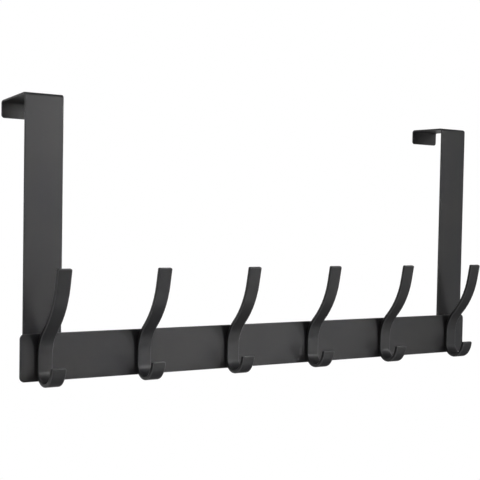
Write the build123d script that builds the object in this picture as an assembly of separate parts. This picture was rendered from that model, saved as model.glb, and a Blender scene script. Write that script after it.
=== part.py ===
"""Over-the-door hook rack: a flat rail with six double hooks, hung from two folded straps.

Frame: millimetres, +Z up, +X along the rail to the viewer's right, -Y out into the room.
The origin lies midway between the straps, on the door's top front edge: the straps' backs
are at Y = 0 and the underside of their folds, at the door's front, is at Z = 0.
"""
import os
from math import cos, radians, tan

from build123d import *

# Door that the straps fold over
DOOR_THICKNESS = 35.0
DOOR_CLEARANCE = 1.3

# Rail: a flat plate on edge; its drop is from the door's top to the rail's lower edge
RAIL_LENGTH = 476.0
RAIL_HEIGHT = 36.0
RAIL_SHEET = 1.5
RAIL_CORNER = 4.0
RAIL_DROP = 212.5

# Straps: flat strip behind the rail; the inset and end gap are from the rail's ends and lower edge
STRAP_WIDTH = 32.0
STRAP_SHEET = 1.5
STRAP_INSET = 2.9
STRAP_END_GAP = 3.0
STRAP_CORNER = 2.5

# Folds: inside radius, length of the lip behind the door, fall of each top to the rear in degrees
FOLD_RADIUS = 1.2
LIP_DROP = 11.9
LEFT_SAG = 6.0
RIGHT_SAG = 0.0

# Hooks: flat bar, evenly spaced between two that stand in from the rail's ends by the inset
HOOK_COUNT = 6
HOOK_INSET = 19.5
HOOK_WIDTH = 12.0
HOOK_BAR = 3.0
HOOK_CORNER = 1.2

# Flat land of a hook against the rail, its start measured from the rail's lower edge
LAND_HEIGHT = 8.3
LAND_LENGTH = 10.5

# Bends of a hook: radii of the bar's mid-line, leans from the vertical in degrees
NECK_RADIUS = 28.3
NECK_LEAN = 45.4
ARM_RADIUS = 64.0
TIP_LEAN = 11.0
TIP_LENGTH = 13.2
CURL_RADIUS = 9.95
CURL_TURN = 141.0
CURL_TIP_RADIUS = 16.5
CURL_TIP_TURN = 37.6

# Broken edges: chamfers round the sheet pieces and round the hooks
SHEET_EDGE = 0.3
BAR_EDGE = 0.5

# Places that follow from the sizes above
door_gap = DOOR_THICKNESS + DOOR_CLEARANCE
rail_back = -STRAP_SHEET
rail_front = rail_back - RAIL_SHEET
rail_low = -RAIL_DROP
strap_centre = RAIL_LENGTH / 2 - STRAP_INSET - STRAP_WIDTH / 2
first_hook = -RAIL_LENGTH / 2 + HOOK_INSET
hook_pitch = (RAIL_LENGTH - 2 * HOOK_INSET) / (HOOK_COUNT - 1)


def make_rail():
    """Flat plate with rounded corners, its back against the straps' fronts."""
    middle = (0, rail_front, rail_low + RAIL_HEIGHT / 2)
    face = Plane(origin=middle, x_dir=(1, 0, 0), z_dir=(0, -1, 0))
    outline = face * RectangleRounded(RAIL_LENGTH, RAIL_HEIGHT, RAIL_CORNER)
    plate = extrude(outline, amount=-RAIL_SHEET)
    return chamfer(plate.faces().filter_by(Axis.Y).edges(), SHEET_EDGE)


def bend_strip(line, side, width, thickness, corner, edge):
    """Flat strip bent along a line in the side plane, its ends' corners rounded and its edges broken."""
    strip = extrude(side * trace(line, thickness), amount=width / 2, both=True)
    start = side.from_local_coords(line @ 0)
    end = side.from_local_coords(line @ 1)
    first_end = strip.faces().sort_by_distance(start)[0]
    last_end = strip.faces().sort_by_distance(end)[0]
    across = (first_end.edges() + last_end.edges()).filter_by(Axis.X, reverse=True)
    strip = fillet(across, corner)
    # The front and back outlines are smooth loops, so a chamfer begun at one end runs all round
    first_end = strip.faces().sort_by_distance(start)[0]
    return chamfer(first_end.edges().filter_by(Axis.X), edge)


def strap_line(sag):
    """Mid-line of a strap as (Y, Z), from its lower end over the door to the lip's edge."""
    half = STRAP_SHEET / 2
    front = -half
    back = door_gap + half
    slope = tan(radians(sag))
    rise = half / cos(radians(sag))
    return FilletPolyline(
        (front, rail_low + STRAP_END_GAP),
        (front, rise - front * slope),
        (back, rise - back * slope),
        (back, -door_gap * slope - LIP_DROP),
        radius=FOLD_RADIUS + half,
    )


def make_strap(x, sag):
    """Strip folded over the door, its front against the rail's back."""
    side = Plane(origin=(x, 0, 0), x_dir=(0, 1, 0), z_dir=(1, 0, 0))
    return bend_strip(strap_line(sag), side, STRAP_WIDTH, STRAP_SHEET, STRAP_CORNER, SHEET_EDGE)


def hook_line():
    """Mid-line of a hook as (out from the rail's face, up from the rail's lower edge)."""
    stand = HOOK_BAR / 2
    land = Line((stand, LAND_HEIGHT), (stand, LAND_HEIGHT + LAND_LENGTH))
    neck = JernArc(land @ 1, land % 1, NECK_RADIUS, -NECK_LEAN)
    arm = JernArc(neck @ 1, neck % 1, ARM_RADIUS, NECK_LEAN - TIP_LEAN)
    tip = Line(arm @ 1, arm @ 1 + (arm % 1) * TIP_LENGTH)
    curl = JernArc(land @ 0, -(land % 0), CURL_RADIUS, CURL_TURN)
    curl_tip = JernArc(curl @ 1, curl % 1, CURL_TIP_RADIUS, CURL_TIP_TURN)
    return (Curve() + [land, neck, arm, tip, curl, curl_tip]).wire()


def make_hook(x):
    """Flat bar bent into a long upper arm and a lower curl, its land flat against the rail's face."""
    side = Plane(origin=(x, rail_front, rail_low), x_dir=(0, -1, 0), z_dir=(-1, 0, 0))
    return bend_strip(hook_line(), side, HOOK_WIDTH, HOOK_BAR, HOOK_CORNER, BAR_EDGE)


nodes = {
    "rail": make_rail(),
    "left_strap": make_strap(-strap_centre, LEFT_SAG),
    "right_strap": make_strap(strap_centre, RIGHT_SAG),
}
for number in range(HOOK_COUNT):
    nodes[f"hook_{number + 1}"] = make_hook(first_hook + number * hook_pitch)

os.makedirs("parts", exist_ok=True)
for name, solid in nodes.items():
    export_step(solid, f"parts/{name}.step")
    print(name, round(solid.volume, 1))
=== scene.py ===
# %% [markdown]
# # An over-the-door hook rack in black powder coat
#
# The rack is nine pieces of steel: a flat rail, two straps that fold over the door's top, and six
# hooks bent from flat bar. They are welded together and then coated black as one.
# The measured model comes in first, as a frame that nothing here moves. Every piece is then shaped
# again over it, with the soft edges that a coat of paint gives, and stands in its node's place.

# %% Load the frame
from math import ceil, copysign, cos, pi, radians, tan
import bmesh
import bpy
from mathutils import Matrix, Vector


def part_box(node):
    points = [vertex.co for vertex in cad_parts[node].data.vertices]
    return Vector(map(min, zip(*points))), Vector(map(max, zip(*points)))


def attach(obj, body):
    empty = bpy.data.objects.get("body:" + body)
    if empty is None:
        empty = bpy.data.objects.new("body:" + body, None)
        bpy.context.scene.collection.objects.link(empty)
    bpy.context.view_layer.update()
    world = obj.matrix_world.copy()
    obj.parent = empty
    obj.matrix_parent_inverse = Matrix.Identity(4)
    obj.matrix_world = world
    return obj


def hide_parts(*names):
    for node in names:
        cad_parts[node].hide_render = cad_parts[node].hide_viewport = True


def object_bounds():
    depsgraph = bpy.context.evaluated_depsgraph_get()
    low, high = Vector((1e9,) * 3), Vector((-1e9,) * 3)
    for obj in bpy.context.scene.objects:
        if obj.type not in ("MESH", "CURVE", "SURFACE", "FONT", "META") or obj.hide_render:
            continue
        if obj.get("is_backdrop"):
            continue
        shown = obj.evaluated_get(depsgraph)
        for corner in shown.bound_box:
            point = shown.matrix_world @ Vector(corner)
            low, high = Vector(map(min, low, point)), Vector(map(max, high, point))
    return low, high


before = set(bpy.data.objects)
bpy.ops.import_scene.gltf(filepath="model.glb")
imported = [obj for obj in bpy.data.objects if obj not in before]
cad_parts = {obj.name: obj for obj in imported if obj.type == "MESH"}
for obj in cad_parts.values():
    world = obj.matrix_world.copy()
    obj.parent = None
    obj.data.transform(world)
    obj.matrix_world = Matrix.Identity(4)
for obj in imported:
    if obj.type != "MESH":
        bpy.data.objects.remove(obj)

MM = 0.001
cad_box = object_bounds()
rack_middle = (cad_box[0] + cad_box[1]) / 2
scene = bpy.context.scene
scene.view_settings.view_transform = "Standard"
print("pieces in the frame:", ", ".join(sorted(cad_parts)))
print("rack, mm:", [round(side / MM, 1) for side in cad_box[1] - cad_box[0]])

# %% [markdown]
# ## Camera
#
# The rack is seen from the left and from just above its hooks, through a long lens. A camera can be
# aimed with a Track To constraint, but three turns are easier to check by hand: yaw round the
# vertical, pitch up or down, and a slight roll about the line of sight. The lens shift slides the
# picture up without tilting the rack's uprights.

# %% Place the camera
CAMERA_PLACE = Vector((-646.3, -804.5, -91.6)) * MM
CAMERA_YAW = radians(37.29)
CAMERA_PITCH = radians(-2.68)
CAMERA_ROLL = radians(1.05)

lens = bpy.data.cameras.new("camera")
lens.sensor_width = 36
lens.lens = 90.6
lens.shift_y = 0.0817
camera = bpy.data.objects.new("camera", lens)
turn = Matrix.Rotation(-CAMERA_YAW, 4, "Z") @ Matrix.Rotation(pi / 2 + CAMERA_PITCH, 4, "X")
turn = turn @ Matrix.Rotation(CAMERA_ROLL, 4, "Z")
camera.matrix_world = Matrix.Translation(CAMERA_PLACE) @ turn
scene.collection.objects.link(camera)
scene.camera = camera
print("camera to the middle of the rack, m:", round((CAMERA_PLACE - rack_middle).length, 3))

# %% [markdown]
# ## Floor paint
#
# The floor is pale and matt, with the faint unevenness of rolled paint: a noise between two near
# whites. It lies far below the lamps, so this paint alone would look grey from above. More lamp would
# mend that, but it would fall on the rack too. Light Path adds a little white instead, for the eye
# and for mirrors only, so it lights nothing else.

# %% Mix the floor's paint
FLOOR_GREY = (0.79, 0.79, 0.79, 1)
FLOOR_PALE = (0.82, 0.82, 0.82, 1)
FLOOR_LUMP = 1 / 3
FLOOR_ROUGHNESS = 0.9
FLOOR_WHITE = 0.5
WHITE = (1, 1, 1, 1)


def larger(tree, first, second):
    """Socket with the larger of two values. Of two kinds of ray, it is 1 for either."""
    node = tree.nodes.new("ShaderNodeMath")
    node.operation = "MAXIMUM"
    tree.links.new(first, node.inputs[0])
    tree.links.new(second, node.inputs[1])
    return node.outputs["Value"]


paint = bpy.data.materials.new("pale_floor_paint")
paint.use_nodes = True
tree = paint.node_tree
nodes, links = tree.nodes, tree.links
place = nodes.new("ShaderNodeTexCoord")
cloud = nodes.new("ShaderNodeTexNoise")
cloud.inputs["Scale"].default_value = 1 / FLOOR_LUMP
links.new(place.outputs["Object"], cloud.inputs["Vector"])
tint = nodes.new("ShaderNodeMix")
tint.data_type = "RGBA"
tint.inputs["A"].default_value = FLOOR_GREY
tint.inputs["B"].default_value = FLOOR_PALE
links.new(cloud.outputs["Fac"], tint.inputs["Factor"])
shader = nodes["Principled BSDF"]
shader.inputs["Roughness"].default_value = FLOOR_ROUGHNESS
links.new(tint.outputs["Result"], shader.inputs["Base Color"])

rays = nodes.new("ShaderNodeLightPath")
mirrored = larger(tree, rays.outputs["Is Glossy Ray"], rays.outputs["Is Transmission Ray"])
lift = nodes.new("ShaderNodeMath")
lift.operation = "MULTIPLY"
lift.inputs[1].default_value = FLOOR_WHITE
links.new(larger(tree, rays.outputs["Is Camera Ray"], mirrored), lift.inputs[0])
shader.inputs["Emission Color"].default_value = WHITE
links.new(lift.outputs["Value"], shader.inputs["Emission Strength"])
print("floor paint nodes:", len(nodes))

# %% [markdown]
# ## Floor
#
# The rack hangs at a door's height, so the floor is a pale sheet two metres below it. A grid of one
# face is enough. It lies further to the left, where the rack's shadow falls, and stops short on the
# right: the hooks' necks mirror that side, and a pale floor there would turn their undersides grey.
# It is marked as stage, so it is no part of the rack.

# %% Lay the floor
FLOOR_MIDDLE = Vector((-0.85, -0.2, -2.0))
FLOOR_SIZE = 2.4

bm = bmesh.new()
bmesh.ops.create_grid(bm, size=FLOOR_SIZE / 2, matrix=Matrix.Translation(FLOOR_MIDDLE))
mesh = bpy.data.meshes.new("floor")
bm.to_mesh(mesh)
bm.free()
mesh.materials.append(paint)
floor = bpy.data.objects.new("floor", mesh)
scene.collection.objects.link(floor)
floor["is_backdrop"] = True
print("floor below the rack, m:", round(cad_box[0].z - FLOOR_MIDDLE.z, 3))

# %% [markdown]
# ## Light
#
# A black satin coat shows two things: a little light that it scatters, and the lamps that it mirrors.
# The soft front lamp is the one that the flat faces mirror. It hangs a little above the rack, so each
# strap fades slowly from its top to its foot. Two weaker ones hang lower: the rail mirrors one, and
# the hooks' arms, which lean out, the other. A tall strip lamp far to the right gives scattered light
# alone, with its mirror image switched off: it models the hooks. Beside it a lamp with a grid sends a
# narrow beam past the rack's left end. It draws the wide soft shade left of each hook, and because it
# thins out towards the beam's rim, the right strap stays the darker one. It hangs a little above the
# rack, so that the curls cast their shadows below the rail and not onto it.
# One large lamp would be simpler, but it leaves the rack as flat as a paper cut-out.

# %% Hang the lamps
LAMP_DISTANCE = 2.0
GRID_SPREAD = radians(12)
GRID_AIM = Vector((-0.34, 0, -0.25))


def soft_lamp(name, way, width, height, power, aim=rack_middle):
    """Flat lamp that hangs off from the rack in one direction and faces it, or another aim."""
    data = bpy.data.lights.new(name, "AREA")
    data.shape = "RECTANGLE"
    data.size = width
    data.size_y = height
    data.energy = power
    lamp = bpy.data.objects.new(name, data)
    place = rack_middle + Vector(way).normalized() * LAMP_DISTANCE
    facing = (place - aim).to_track_quat("Z", "Y").to_matrix().to_4x4()
    lamp.matrix_world = Matrix.Translation(place) @ facing
    scene.collection.objects.link(lamp)
    return lamp


front_lamp = soft_lamp("front_lamp", (0.43, -0.86, 0.29), 0.7, 0.6, 8.3)
low_lamp = soft_lamp("low_lamp", (0.60, -0.78, -0.20), 0.4, 0.3, 2.1)
under_lamp = soft_lamp("under_lamp", (0.51, -0.62, -0.59), 0.5, 0.5, 2.4)
strip_lamp = soft_lamp("strip_lamp", (0.86, -0.48, 0.12), 0.4, 1.6, 26)
strip_lamp.visible_glossy = False
grid_lamp = soft_lamp("grid_lamp", (0.81, -0.57, 0.13), 0.3, 0.6, 0.37, GRID_AIM)
grid_lamp.data.spread = GRID_SPREAD
lamps = (front_lamp, low_lamp, under_lamp, strip_lamp, grid_lamp)
print("lamps, W:", [round(lamp.data.energy, 2) for lamp in lamps])

# %% [markdown]
# ## White surround
#
# The white round the rack is the world's own colour, at a strength of 1. Light Path tells which ray
# is asking. The eye sees white everywhere. A mirrored ray sees the same white straight behind the
# rack, less of it out to the sides, and a dim front where it comes back into the room, as it would be
# before a white backdrop. All other rays get a plain low level, so the white adds no light of its own.

# %% Light the world
WHITE_STARTS = 0.4
WHITE_FULL = 1.0
DIM_FRONT = 0.10
PLAIN_LEVEL = 0.3

world = bpy.data.worlds.new("white_surround")
scene.world = world
world.use_nodes = True
tree = world.node_tree
nodes, links = tree.nodes, tree.links
rays = nodes.new("ShaderNodeLightPath")
mirrored = larger(tree, rays.outputs["Is Glossy Ray"], rays.outputs["Is Transmission Ray"])
shown = larger(tree, rays.outputs["Is Camera Ray"], mirrored)

way = nodes.new("ShaderNodeTexCoord")
depth = nodes.new("ShaderNodeSeparateXYZ")
links.new(way.outputs["Generated"], depth.inputs["Vector"])
behind = nodes.new("ShaderNodeMapRange")
behind.inputs["From Min"].default_value = WHITE_STARTS
behind.inputs["From Max"].default_value = WHITE_FULL
behind.inputs["To Min"].default_value = DIM_FRONT
links.new(depth.outputs["Y"], behind.inputs["Value"])
white = larger(tree, rays.outputs["Is Camera Ray"], behind.outputs["Result"])

level = nodes.new("ShaderNodeMix")
level.inputs["A"].default_value = PLAIN_LEVEL
links.new(shown, level.inputs["Factor"])
links.new(white, level.inputs["B"])
background = nodes["Background"]
background.inputs["Color"].default_value = WHITE
links.new(level.outputs["Result"], background.inputs["Strength"])
print("world nodes:", len(nodes))

# %% [markdown]
# ## Black powder coat
#
# The steel is powder coated: a dry paint is sprayed on and melts in an oven into one even skin. It is
# near black, and a single flat black would look cut out of paper. A slow noise drifts between a cooler
# and a warmer one. An attribute on the faces of the rounded edges paints the black lighter there: a
# painted highlight along every edge, and partly a coat that thins a little over edges. An image could
# hold all this, but it would need an unwrap for every piece, and a noise on the object's own
# coordinates needs none.

# %% Mix the black
DRIFT_LUMP = 55 * MM
COOL_BLACK = (0.017, 0.017, 0.019, 1)
WARM_BLACK = (0.022, 0.021, 0.021, 1)
# Painted highlight: the lighter black that the rounded edges get, partly also a thinner coat.
EDGE_THIN_COAT_AND_HIGHLIGHT = (0.070, 0.070, 0.072, 1)
EDGE_MARK = "rounded_edge"

coat = bpy.data.materials.new("black_powder_coat")
coat.use_nodes = True
nodes, links = coat.node_tree.nodes, coat.node_tree.links
shader = nodes["Principled BSDF"]
place = nodes.new("ShaderNodeTexCoord")


def coat_noise(lump, detail):
    """Noise in lumps of about one size, fixed to the piece."""
    noise = nodes.new("ShaderNodeTexNoise")
    noise.inputs["Scale"].default_value = 1 / lump
    noise.inputs["Detail"].default_value = detail
    links.new(place.outputs["Object"], noise.inputs["Vector"])
    return noise.outputs["Fac"]


tone = nodes.new("ShaderNodeValToRGB")
cool, warm = tone.color_ramp.elements
cool.position = 0.35
cool.color = COOL_BLACK
warm.position = 0.65
warm.color = WARM_BLACK
links.new(coat_noise(DRIFT_LUMP, detail=3), tone.inputs["Fac"])

# Painted highlight along the rounded edges, partly a thinner coat: the marked edge faces get the
# lighter black.
edge = nodes.new("ShaderNodeAttribute")
edge.attribute_name = EDGE_MARK
thin_coat_and_highlight = nodes.new("ShaderNodeMix")
thin_coat_and_highlight.data_type = "RGBA"
thin_coat_and_highlight.inputs["B"].default_value = EDGE_THIN_COAT_AND_HIGHLIGHT
links.new(edge.outputs["Fac"], thin_coat_and_highlight.inputs["Factor"])
links.new(tone.outputs["Color"], thin_coat_and_highlight.inputs["A"])
links.new(thin_coat_and_highlight.outputs["Result"], shader.inputs["Base Color"])
print("coat, share of light scattered:", COOL_BLACK[0], "to", WARM_BLACK[0])

# %% [markdown]
# ## Satin and grain
#
# The baked coat is satin: it mirrors the lamps, but blurs them. No coat is equally satin all over, so
# a noise in smaller lumps moves its roughness up and down. It also keeps the fine orange-peel grain
# of the powder. Modelled, that would take millions of faces, so it is a bump, which only tilts the
# light.

# %% Make it satin and grained
SATIN_LUMP = 20 * MM
SATIN_SMOOTHEST = 0.37
SATIN_ROUGHEST = 0.47
PEEL_LUMP = 0.8 * MM
PEEL_DEPTH = 0.05 * MM
PEEL_STRENGTH = 0.15

satin = nodes.new("ShaderNodeMapRange")
satin.inputs["To Min"].default_value = SATIN_SMOOTHEST
satin.inputs["To Max"].default_value = SATIN_ROUGHEST
links.new(coat_noise(SATIN_LUMP, detail=2), satin.inputs["Value"])
links.new(satin.outputs["Result"], shader.inputs["Roughness"])

peel = nodes.new("ShaderNodeBump")
peel.inputs["Strength"].default_value = PEEL_STRENGTH
peel.inputs["Distance"].default_value = PEEL_DEPTH
links.new(coat_noise(PEEL_LUMP, detail=1), peel.inputs["Height"])
links.new(peel.outputs["Normal"], shader.inputs["Normal"])
print("coat nodes:", len(nodes))

# %% [markdown]
# ## Bending strip
#
# Straps and hooks are bent from flat strip, as on a bending bench: the strip runs straight, goes
# round a former, runs straight again. A curve with a bevel profile could draw that too, but Extrude
# and Spin do what the bench does, and leave clean rows of quads. Each tool takes the strip's end
# face and the way it heads, and hands both on. A positive bend leans a rising strip out into the room.

# %% Tools for bending a strip
BEND_STEP = radians(5.5)


def cut_end(bm, middle, width, thickness):
    """Cut end of a strip, lying level: its width along X and its thickness along Y."""
    size = Matrix.Diagonal((width, thickness, 1, 1))
    made = bmesh.ops.create_grid(bm, size=0.5, matrix=Matrix.Translation(middle) @ size)
    return made["verts"][0].link_faces[0]


def whole(end):
    """An end face with its edges and corners. Drawn on without them, it would stay inside the strip."""
    return [end, *end.edges, *end.verts]


def end_face(items):
    """The one face among the items that a tool made at the strip's new end."""
    return next(item for item in items if isinstance(item, bmesh.types.BMFace))


def run_on(bm, end, way, length):
    """Runs the strip straight on."""
    made = bmesh.ops.extrude_face_region(bm, geom=whole(end))["geom"]
    corners = [item for item in made if isinstance(item, bmesh.types.BMVert)]
    bmesh.ops.translate(bm, verts=corners, vec=way * length)
    return end_face(made), way


def bend_on(bm, end, way, radius, turn):
    """Bends the strip on, its mid-line round a radius."""
    inward = Matrix.Rotation(copysign(pi / 2, turn), 3, "X") @ way
    centre = end.calc_center_median() + inward * radius
    steps = ceil(abs(turn) / BEND_STEP)
    made = bmesh.ops.spin(bm, geom=whole(end), cent=centre, axis=(1, 0, 0), angle=turn, steps=steps)
    return end_face(made["geom_last"]), Matrix.Rotation(turn, 3, "X") @ way


print("steps in a quarter bend:", ceil(pi / 2 / BEND_STEP))

# %% [markdown]
# ## Rounding edges
#
# Cut steel has its corners knocked off, and the coat rounds what is left. Bevel does both: first the
# end corners, seen from the front, then every sharp edge. The faces of the second round are marked,
# so that the coat can be painted lighter there, as a painted edge highlight and a slightly thinner
# coat. Weighted normals keep the flats flat in the light although the whole mesh is shaded smooth.

# %% Tools for rounding and finishing
TINY = 0.001 * MM
SHARP_DEGREES = 60


def end_corners(end):
    """The two edges of a strip's end that run through its thickness."""
    return [edge for edge in end.edges if abs(edge.verts[0].co.x - edge.verts[1].co.x) < TINY]


def round_edges(bm, edges, radius, segments):
    """Rounds edges and gives the new faces."""
    made = bmesh.ops.bevel(
        bm, geom=edges, offset=radius, offset_type="OFFSET", affect="EDGES",
        segments=segments, profile=0.5, material=-1,
    )
    return made["faces"]


def coated_piece(bm, node, edge_radius):
    """Rounds the sharp edges that are left and makes the coated piece that stands for its node."""
    mark = bm.faces.layers.float.new(EDGE_MARK)
    bmesh.ops.recalc_face_normals(bm, faces=bm.faces)
    sharp = [edge for edge in bm.edges if edge.calc_face_angle(0) > radians(SHARP_DEGREES)]
    # The marked faces get the lighter black of the painted edge highlight.
    for face in round_edges(bm, sharp, edge_radius, segments=3):
        face[mark] = 1
    mesh = bpy.data.meshes.new("coated_" + node)
    bm.to_mesh(mesh)
    bm.free()
    mesh.shade_smooth()
    mesh.materials.append(coat)
    piece = bpy.data.objects.new("coated_" + node, mesh)
    scene.collection.objects.link(piece)
    piece.modifiers.new("flat_faces_stay_flat", "WEIGHTED_NORMAL")
    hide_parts(node)
    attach(piece, "root")
    print(piece.name, "faces:", len(mesh.polygons))


print("edges that turn by more than", SHARP_DEGREES, "degrees get rounded")

# %% [markdown]
# ## Rail
#
# The rail is a plain flat plate that stands on edge, with its four corners rounded. Its outline could
# be drawn and extruded, but a cube drawn out to the plate's box is simpler: bevelled at the four edges
# through its thickness, it is done.

# %% Cut the rail
RAIL_CORNER = 4 * MM
SHEET_EDGE = 0.5 * MM

low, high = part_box("rail")
bm = bmesh.new()
size = Matrix.Diagonal((*(high - low), 1))
bmesh.ops.create_cube(bm, size=1, matrix=Matrix.Translation((low + high) / 2) @ size)
through = [edge for edge in bm.edges if abs(edge.verts[0].co.y - edge.verts[1].co.y) > TINY]
round_edges(bm, through, RAIL_CORNER, segments=8)
coated_piece(bm, "rail", SHEET_EDGE)

# %% [markdown]
# ## Straps
#
# A strap rises behind the rail, folds over the door's top and ends in a short lip behind the door.
# The left one's top falls a little to the rear, as if it had been bent a few degrees too far, so its
# first fold turns by more than a right angle and its second by less. A run's length follows
# from the corners where the mid-lines meet, less what each fold takes off them.

# %% Fold the straps
UP = Vector((0, 0, 1))
STRAP_CORNER = 2.5 * MM
FOLD_RADIUS = 1.2 * MM
LIP_DROP = 11.9 * MM
STRAP_SAG = {"left_strap": radians(6), "right_strap": 0.0}

for node, sag in STRAP_SAG.items():
    low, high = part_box(node)
    sheet = -low.y
    gap = high.y - sheet
    bend = FOLD_RADIUS + sheet / 2
    front_turn = pi / 2 + sag
    back_turn = pi / 2 - sag
    front_cut = bend * tan(front_turn / 2)
    back_cut = bend * tan(back_turn / 2)
    front_top = sheet / 2 / cos(sag) + sheet / 2 * tan(sag)
    back_top = front_top - (gap + sheet) * tan(sag)
    lip_end = -gap * tan(sag) - LIP_DROP

    bm = bmesh.new()
    foot = Vector(((low.x + high.x) / 2, -sheet / 2, low.z))
    end = cut_end(bm, foot, high.x - low.x, sheet)
    end, way = run_on(bm, end, UP, front_top - front_cut - low.z)
    end, way = bend_on(bm, end, way, bend, -front_turn)
    end, way = run_on(bm, end, way, (gap + sheet) / cos(sag) - front_cut - back_cut)
    end, way = bend_on(bm, end, way, bend, -back_turn)
    end, way = run_on(bm, end, way, back_top - back_cut - lip_end)
    foot_end = min(bm.faces, key=lambda face: face.calc_center_median().z)
    round_edges(bm, end_corners(end) + end_corners(foot_end), STRAP_CORNER, segments=6)
    coated_piece(bm, node, SHEET_EDGE)

# %% [markdown]
# ## Hooks
#
# Each hook is one length of flat bar. Its land lies flat on the rail. Above it the bar leans out
# through the neck and comes upright again along a long easy arm. Below, it curls under and up
# into a small second hook. The bar is bent both ways from the land's foot, which saves working out
# where its free end lies.

# %% Bend the hooks
HOOK_BAR = 3 * MM
HOOK_CORNER = 1.2 * MM
BAR_EDGE = 0.7 * MM
LAND_HEIGHT = 8.3 * MM
LAND_LENGTH = 10.5 * MM
NECK_RADIUS = 28.3 * MM
NECK_LEAN = radians(45.4)
ARM_RADIUS = 64 * MM
TIP_LEAN = radians(11)
TIP_LENGTH = 13.2 * MM
CURL_RADIUS = 9.95 * MM
CURL_TURN = radians(141)
CURL_TIP_RADIUS = 16.5 * MM
CURL_TIP_TURN = radians(37.6)

rail_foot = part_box("rail")[0].z
for number in range(1, 7):
    node = f"hook_{number}"
    low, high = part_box(node)
    bm = bmesh.new()
    foot = Vector(((low.x + high.x) / 2, high.y - HOOK_BAR / 2, rail_foot + LAND_HEIGHT))
    start = cut_end(bm, foot, high.x - low.x, HOOK_BAR)
    end, way = run_on(bm, start, UP, LAND_LENGTH)
    end, way = bend_on(bm, end, way, NECK_RADIUS, NECK_LEAN)
    end, way = bend_on(bm, end, way, ARM_RADIUS, TIP_LEAN - NECK_LEAN)
    arm_end, way = run_on(bm, end, way, TIP_LENGTH)
    start = min(bm.faces, key=lambda face: face.calc_center_median().z)
    end, way = bend_on(bm, start, -UP, CURL_RADIUS, -CURL_TURN)
    curl_end, way = bend_on(bm, end, way, CURL_TIP_RADIUS, -CURL_TIP_TURN)
    round_edges(bm, end_corners(arm_end) + end_corners(curl_end), HOOK_CORNER, segments=5)
    coated_piece(bm, node, BAR_EDGE)

# %% [markdown]
# ## Sizes
#
# The dressed rack should fill the same box as the measured one. Both boxes are written down, so that
# a slip in a bend or a radius shows as a number.

# %% Write the sizes and finish
dressed_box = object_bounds()
for title, box in (("measured", cad_box), ("dressed", dressed_box)):
    print(title, "box, mm:", [round(value / MM, 2) for corner in box for value in corner])
